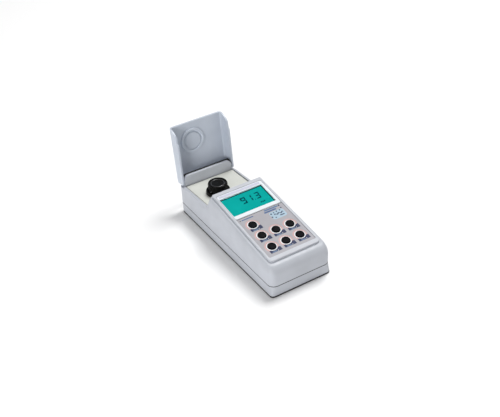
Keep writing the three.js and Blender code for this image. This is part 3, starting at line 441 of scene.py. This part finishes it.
def digit(x, width, text):
    """A seven-segment figure that leans to the right."""
    height, thick = DIGIT_HEIGHT, 1.9
    middle, gap = height / 2, 0.15
    bars = {
        "a": [(gap, height), (width - gap, height), (width - thick, height - thick),
              (thick, height - thick)],
        "d": [(thick, thick), (width - thick, thick), (width - gap, 0), (gap, 0)],
        "g": [(thick * 0.6, middle), (thick, middle + thick / 2),
              (width - thick, middle + thick / 2), (width - thick * 0.6, middle),
              (width - thick, middle - thick / 2), (thick, middle - thick / 2)],
        "b": [(width, height - gap), (width, middle + gap),
              (width - thick, middle + thick / 2 + gap), (width - thick, height - thick - gap)],
        "c": [(width, middle - gap), (width, gap), (width - thick, thick + gap),
              (width - thick, middle - thick / 2 - gap)],
        "f": [(0, height - gap), (thick, height - thick - gap), (thick, middle + thick / 2 + gap),
              (0, middle + gap)],
    }
    for name in SEGMENTS[text]:
        outline = [(x + u + DIGIT_LEAN * v, DIGIT_FOOT + v) for u, v in bars[name]]
        prism(digits, outline, *SEGMENT_INK)


digit(-8.6, 7.0, "9")
digit(0.6, 6.4, "1")
digit(11.4, 7.0, "3")
prism(digits, rectangle(8.8, DIGIT_FOOT, 10.2, DIGIT_FOOT + 1.4), *SEGMENT_INK)
for k in range(3):
    x = 12.2 + 2.4 * k
    prism(digits, rectangle(x, 27.7, x + 1.7, 29.7, lean=0.1), *SEGMENT_INK)
make("lcd_segments", digits, lcd_ink_painted_glow, matrix=FACE)


def border(bm, x0, y0, x1, y1, thickness, z0, z1):
    """A flat rectangular frame."""
    prism(bm, rectangle(x0, y0, x1, y0 + thickness), z0, z1)
    prism(bm, rectangle(x0, y1 - thickness, x1, y1), z0, z1)
    prism(bm, rectangle(x0, y0 + thickness, x0 + thickness, y1 - thickness), z0, z1)
    prism(bm, rectangle(x1 - thickness, y0 + thickness, x1, y1 - thickness), z0, z1)


# A dark frame under the lens's edge paints the shade round the window's opening
window_shade_frame = bmesh.new()
x0, y0, x1, y1 = WINDOW
UNDER_BEZEL, SHADE_FRAME_WIDTH = 0.4, 1.3
SHADE_FRAME_HEIGHTS = (-2.66, -2.6)  # underside and top, over the face
border(window_shade_frame, x0 - UNDER_BEZEL, y0 - UNDER_BEZEL, x1 + UNDER_BEZEL, y1 + UNDER_BEZEL,
       SHADE_FRAME_WIDTH, *SHADE_FRAME_HEIGHTS)
make("window_painted_shade_border", window_shade_frame, window_painted_shade_ink, matrix=FACE)


# ---- A dark plate that stands across the case behind the hinge block and paints the shade in the gap between the block and the lid ----
# Millimetres from the middle of the hinge's axis
HINGE_GAP_SHADE = {"half_width": 35.2, "bottom": 2, "top": 10.25, "front": 0.5, "rear": 2.6, "corner": 2.6}
hinge = next(j for j in frame["joints"] if j["name"] == "lid_hinge")
gap_shade_outline = [(HINGE_GAP_SHADE["half_width"], HINGE_GAP_SHADE["bottom"])]
for k in range(9):
    turn = k / 8 * math.pi / 2
    gap_shade_outline.append((HINGE_GAP_SHADE["half_width"] - HINGE_GAP_SHADE["corner"] * (1 - math.cos(turn)),
                         HINGE_GAP_SHADE["top"] - HINGE_GAP_SHADE["corner"] * (1 - math.sin(turn))))
gap_shade_outline += [(-x, z) for x, z in gap_shade_outline[::-1]]
gap_shade_plate = bmesh.new()
prism(gap_shade_plate, gap_shade_outline, -HINGE_GAP_SHADE["rear"], -HINGE_GAP_SHADE["front"])
upright = Matrix.Translation(hinge["pos_m"]) @ Matrix.Rotation(math.pi / 2, 4, "X")
make("hinge_gap_painted_shade", gap_shade_plate, materials["seal_rubber"], matrix=upright)

# ---- A fine dark line round the deck plate, inside its edge: painted shade of a groove ----
plate_low, plate_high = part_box("deck_plate")
corners = [v.co for v in nodes["deck_plate"].data.vertices]
near_top = max(p.z for p in corners if p.y < plate_low.y + 2 * MM)
far_top = max(p.z for p in corners if p.y > plate_high.y - 2 * MM)
length = (plate_high.y - plate_low.y) / MM
DECK = Matrix.Translation((0, plate_low.y, near_top)) @ Matrix.Rotation(
    -math.atan2(near_top - far_top, plate_high.y - plate_low.y), 4, "X"
)
LINE_WIDTH = 0.5
LINE_HEIGHTS = (-0.3, 0.12)  # underside and top, over the plate
deck_groove_shade = bmesh.new()
half = plate_high.x / MM - 0.5
border(deck_groove_shade, -half, 0.4, half, length - 0.6, LINE_WIDTH, *LINE_HEIGHTS)
make("deck_groove_painted_shade", deck_groove_shade, groove_painted_shade, matrix=DECK)


# ---- Finer keys and cap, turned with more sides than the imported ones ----
def turned(name, profile, centre, mat, body, matrix, sides=64):
    """A body of revolution that starts and ends on its axis."""
    bm = bmesh.new()
    lathe(bm, profile, centre, sides)
    bmesh.ops.remove_doubles(bm, verts=bm.verts, dist=1e-7)
    o = make(name, bm, mat, body, matrix)
    split = o.modifiers.new("split", "EDGE_SPLIT")
    split.split_angle = math.radians(40)
    shade_smooth(o)
    return o


KEY_FOOT, KEY_SHOULDER, KEY_TOP = -5.8, 0.45, 1.3  # heights over the face
KEY_RADIUS, FLANGE_RADIUS, FLANGE_HEIGHT = 5.3, 7, 1.1
ROUND_WIDTH, ROUND_HEIGHT = 0.8, 0.55  # of the rounding over a key's shoulder
key_profile = [(0, KEY_FOOT), (FLANGE_RADIUS, KEY_FOOT), (FLANGE_RADIUS, KEY_FOOT + FLANGE_HEIGHT),
               (KEY_RADIUS, KEY_FOOT + FLANGE_HEIGHT), (KEY_RADIUS, KEY_SHOULDER)]
for i in range(1, 7):
    turn = i / 6 * math.pi / 2
    key_profile.append((KEY_RADIUS - ROUND_WIDTH + ROUND_WIDTH * math.cos(turn),
                        KEY_SHOULDER + ROUND_HEIGHT * math.sin(turn)))
key_profile += [(3.6, 1.16), (2.4, KEY_TOP - 0.04), (1.2, KEY_TOP), (0, KEY_TOP)]
for k, place in enumerate(key_places, 1):
    piece = turned(f"key_cap_{k}", key_profile, place, materials["key_rubber"],
                   f"key_{k}", FACE)
    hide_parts(f"key_{k}")

cap_low, cap_high = (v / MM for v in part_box("cuvette_cap"))
cap_centre = ((cap_low.x + cap_high.x) / 2, (cap_low.y + cap_high.y) / 2)
cap_radius = (cap_high.x - cap_low.x) / 2
bottom, top = cap_low.z, cap_high.z
CAP_BORE, CAP_ROUND, CAP_ROOF = 10.8, 1.1, 2.3  # inner radius, rounding and depth of the roof
cap_profile = [(CAP_BORE, bottom), (cap_radius - 0.4, bottom), (cap_radius, bottom + 0.4)]
for i in range(7):
    turn = i / 6 * math.pi / 2
    cap_profile.append((cap_radius - CAP_ROUND + CAP_ROUND * math.cos(turn),
                        top - CAP_ROUND + CAP_ROUND * math.sin(turn)))
cap_profile += [(10.5, top), (10.2, top - 0.15), (9.5, top - 0.95), (9.1, top - 1.15),
                (5.0, top - 1.3), (0, top - 1.35), (0, top - CAP_ROOF), (CAP_BORE, top - CAP_ROOF)]
cap_piece = turned("cuvette_cap_fine", cap_profile, cap_centre, materials["moulded_black"],
                   "cap", None, 96)
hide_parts("cuvette_cap")

RIBS = 48
RIB_SECTION = ((-0.028, -0.2), (-0.012, 0.28), (0.012, 0.28), (0.028, -0.2))  # angle, reach
ribs = bmesh.new()
for k in range(RIBS):
    turn = 2 * math.pi * k / RIBS
    points = []
    for offset, reach in RIB_SECTION:
        angle = turn + offset
        points.append((cap_centre[0] + (cap_radius + reach) * math.cos(angle),
                       cap_centre[1] + (cap_radius + reach) * math.sin(angle)))
    prism(ribs, points, bottom + 0.9, top - 1.6)
make("cap_grip_ribs", ribs, materials["moulded_black"], "cap")

BEAD_RADIUS, BEAD_DEPTH = 8.6, 1.1  # of its middle, in the dish of the cap
BEAD_HALF_WIDTH, BEAD_HALF_HEIGHT = 0.75, 0.35
bead = bmesh.new()
bead_profile = []
for i in range(10):
    turn = 2 * math.pi * i / 10
    bead_profile.append((BEAD_RADIUS + BEAD_HALF_WIDTH * math.cos(turn),
                         top - BEAD_DEPTH + BEAD_HALF_HEIGHT * math.sin(turn)))
lathe(bead, bead_profile, cap_centre, 96)
shade_smooth(make("cap_dish_bead", bead, polished_black, "cap"))

# ---- Small print and hardware ----
vial_low, vial_high = (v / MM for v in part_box("cuvette_vial"))
vial_centre = ((vial_low.x + vial_high.x) / 2, (vial_low.y + vial_high.y) / 2)
vial_radius = (vial_high.x - vial_low.x) / 2
FILL_LINE, FILL_LINE_TOP, INDEX_FOOT = 40, 40.6, 35.5  # heights over the ground
ink_root, ink_skin = vial_radius - 0.2, vial_radius + 0.04
fill = bmesh.new()
lathe(fill, [(ink_root, FILL_LINE), (ink_skin, FILL_LINE), (ink_skin, FILL_LINE_TOP),
             (ink_root, FILL_LINE_TOP)], vial_centre, 60)
make("vial_fill_line", fill, ink_white, "cuvette")
index = bmesh.new()
prism(index, [(-1.6, 0), (1.6, 0), (0, 3.0)], -0.05, 0.12)
vial_front = Vector((vial_centre[0], vial_centre[1] - vial_radius, INDEX_FOOT)) * MM
make("vial_index_mark", index, ink_white, "cuvette",
     Matrix.Translation(vial_front) @ Matrix.Rotation(math.pi / 2, 4, "X"))


# The legs of the microcontroller, and the small parts beside it on the main board
def face_box(name):
    """The bounds of a node in the frame of the sloping face, in millimetres."""
    points = [FACE.inverted() @ v.co / MM for v in nodes[name].data.vertices]
    return [(min(p[i] for p in points), max(p[i] for p in points)) for i in range(3)]


chip_x, chip_y, _ = face_box("microcontroller")
board_top = face_box("main_circuit_board")[2][1]
LEG_PITCH, LEG_HALF_WIDTH, LEG_OUT, LEG_IN = 0.8, 0.17, 0.9, 0.2


def leg_spans(low, high):
    """Where the legs on two opposite sides of the chip start and end."""
    return (low - LEG_OUT, low + LEG_IN), (high - LEG_IN, high + LEG_OUT)


legs = bmesh.new()
leg_heights = (board_top - 0.02, board_top + 0.25)
for k in range(16):
    along = 0.9 + LEG_PITCH * k
    y = chip_y[0] + along
    for a, b in leg_spans(*chip_x):
        prism(legs, rectangle(a, y - LEG_HALF_WIDTH, b, y + LEG_HALF_WIDTH), *leg_heights)
    x = chip_x[0] + along
    for a, b in leg_spans(*chip_y):
        prism(legs, rectangle(x - LEG_HALF_WIDTH, a, x + LEG_HALF_WIDTH, b), *leg_heights)
make("microcontroller_legs", legs, materials["steel"], matrix=FACE)

PART_HALF, PART_HEIGHT = 0.6, 0.5  # half a small part's side, and its height
END_REACH, END_HALF, END_HEIGHT = 1.0, 0.62, 0.54  # of its metal ends, the first from its middle
PART_PITCH, ROW_PITCH = 3.2, 4.2
small_parts, part_ends = bmesh.new(), bmesh.new()
for k in range(12):
    x = chip_x[0] - 5 - PART_PITCH * (k % 4)
    y = chip_y[0] + 1.5 + ROW_PITCH * (k // 4) + random.uniform(-0.3, 0.3)
    prism(small_parts, rectangle(x - PART_HALF, y - PART_HALF, x + PART_HALF, y + PART_HALF),
          board_top, board_top + PART_HEIGHT)
    for side in (-1, 1):
        low, high = sorted((x + side * PART_HALF, x + side * END_REACH))
        prism(part_ends, rectangle(low, y - END_HALF, high, y + END_HALF),
              board_top, board_top + END_HEIGHT)
make("board_small_parts", small_parts, materials["chip_black"], matrix=FACE)
make("board_part_ends", part_ends, materials["steel"], matrix=FACE)

# Dark crosses on the screw heads paint the shade in their cross recesses
CROSS_REACH, CROSS_HALF_WIDTH = 1.7, 0.3
screw_recess_shade = bmesh.new()
for k in range(1, 5):
    low, high = (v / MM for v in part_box(f"case_screw_{k}"))
    x, y = (low.x + high.x) / 2, (low.y + high.y) / 2
    for x0, y0, x1, y1 in (
        (-CROSS_REACH, -CROSS_HALF_WIDTH, CROSS_REACH, CROSS_HALF_WIDTH),
        (-CROSS_HALF_WIDTH, -CROSS_REACH, CROSS_HALF_WIDTH, -CROSS_HALF_WIDTH),
        (-CROSS_HALF_WIDTH, CROSS_HALF_WIDTH, CROSS_HALF_WIDTH, CROSS_REACH),
    ):
        prism(screw_recess_shade, rectangle(x + x0, y + y0, x + x1, y + y1), low.z - 0.03, low.z + 0.2)
make("screw_cross_painted_shade", screw_recess_shade, dark_ink_and_painted_shade)


# ---- A thin dark band round the foot of the case, which paints the contact shadow under its edge ----
base_low, base_high = (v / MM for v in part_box("lower_case"))
base_middle = (base_low.y + base_high.y) / 2
BASE_TAPER = 0.0003  # share of the width that each millimetre towards the rear takes off
base_half_length = (base_high.y - base_low.y) / 2
base_half_width = base_high.x / (1 + BASE_TAPER * base_half_length)


def base_outline(inset):
    """The rim's outline so far inside its edge, narrowing towards the rear."""
    half, end, radius = base_half_width - inset, base_half_length - inset, 4.5 - 0.5 * inset
    points = rectangle(-half, -end, half, end, radius)
    return [(x * (1 - BASE_TAPER * y), y + base_middle) for x, y in points]


outer, inner = base_outline(-0.06), base_outline(2.4)
EDGE_FOOT, EDGE_HEAD = 0.05, base_low.z + 0.6
contact_shadow_band = hoop([(outer, EDGE_FOOT), (outer, EDGE_HEAD), (inner, EDGE_HEAD), (inner, EDGE_FOOT)])
make("base_painted_contact_shadow", contact_shadow_band, materials["seal_rubber"])

# ---- A dark band between the two shells, a hair proud of them, which paints the shade in the parting gap ----
shell_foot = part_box("upper_case")[0].z / MM
rim = [v.co / MM for v in nodes["upper_case"].data.vertices if v.co.z / MM < shell_foot + 0.02]
rim = [rim[i] for i in convex_hull_2d([(p.x, p.y) for p in rim])]
rim = [p for p, q in zip(rim, rim[1:] + rim[:1]) if (p - q).length > 0.05]
rim_half_width = max(p.x for p in rim)
rim_half_length = (max(p.y for p in rim) - min(p.y for p in rim)) / 2


def rim_outline(inset):
    """The upper shell's lowest outline, drawn in by so much."""
    narrow, shorten = 1 - inset / rim_half_width, 1 - inset / rim_half_length
    return [(p.x * narrow, base_middle + (p.y - base_middle) * shorten) for p in rim]


outer, inner = rim_outline(-0.04), rim_outline(0.8)
SEAM_SHADE_FOOT, SEAM_SHADE_HEAD = shell_foot - 0.8, shell_foot + 0.2
seam_shade_band = hoop([(outer, SEAM_SHADE_FOOT), (outer, SEAM_SHADE_HEAD), (inner, SEAM_SHADE_HEAD), (inner, SEAM_SHADE_FOOT)])
make("case_seam_painted_shade", seam_shade_band, materials["seal_rubber"])

# ---- Stage, light and camera ----
bpy.ops.mesh.primitive_plane_add(size=8, location=(0, 0, 0))
floor = bpy.context.object
floor.name = "floor"
floor.data.materials.append(
    new_material("floor_paper", (0.96, 0.96, 0.96), 0.9, Specular_IOR_Level=0.1)
)

# A white surround, a little brighter towards the hinge end
scene = bpy.context.scene
scene.view_settings.view_transform = "Standard"
world = bpy.data.worlds.new("studio")
scene.world = world
world.use_nodes = True
sky = world.node_tree
background = sky.nodes["Background"]
background.inputs["Color"].default_value = (1, 1, 1, 1)
direction = sky.nodes.new("ShaderNodeTexCoord")
split_direction = sky.nodes.new("ShaderNodeSeparateXYZ")
dimmer = sky.nodes.new("ShaderNodeMapRange")
for name, value in {"From Min": -1, "From Max": 1, "To Min": 0.34, "To Max": 0.50}.items():
    dimmer.inputs[name].default_value = value
sky.links.new(direction.outputs["Generated"], split_direction.inputs["Vector"])
sky.links.new(split_direction.outputs["Y"], dimmer.inputs["Value"])
sky.links.new(dimmer.outputs["Result"], background.inputs["Strength"])


def softbox(name, place, target, size, power):
    light = bpy.data.lights.new(name, "AREA")
    light.shape = "DISK"
    light.size = size
    light.energy = power
    o = bpy.data.objects.new(name, light)
    o.location = place
    o.rotation_euler = (Vector(target) - Vector(place)).to_track_quat("-Z", "Y").to_euler()
    scene.collection.objects.link(o)


softbox("main_softbox", (0.9, 0.4, 2.15), target=(0, 0, 0), size=1.1, power=41)
softbox("left_fill", (-1.22, -0.68, 0.26), target=(0, 0, 0.03), size=0.5, power=9)

AZIMUTH, ELEVATION, ROLL = (math.radians(a) for a in (-30.73, 34.72, -3.19))
SENSOR, LENS, DISTANCE = 36, 61.5766, 1.06821  # millimetres, millimetres and metres
ASIDE = (0.0007, -0.0153)  # how far the aim stands right of and above the view's centre, in metres
back = Vector((
    math.sin(AZIMUTH) * math.cos(ELEVATION),
    -math.cos(AZIMUTH) * math.cos(ELEVATION),
    math.sin(ELEVATION),
))
level_right = Vector((math.cos(AZIMUTH), math.sin(AZIMUTH), 0))
level_up = back.cross(level_right)
right = level_right * math.cos(ROLL) + level_up * math.sin(ROLL)
up = level_up * math.cos(ROLL) - level_right * math.sin(ROLL)
case_low, case_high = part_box("lower_case")
aim = Vector((0, (case_low.y + case_high.y) / 2, 0.03))
camera_data = bpy.data.cameras.new("camera")
camera_data.sensor_width = SENSOR
camera_data.lens = LENS
camera = bpy.data.objects.new("camera", camera_data)
scene.collection.objects.link(camera)
scene.camera = camera
place = aim - right * ASIDE[0] - up * ASIDE[1] + back * DISTANCE
camera.matrix_world = axes(right, up, back, place)
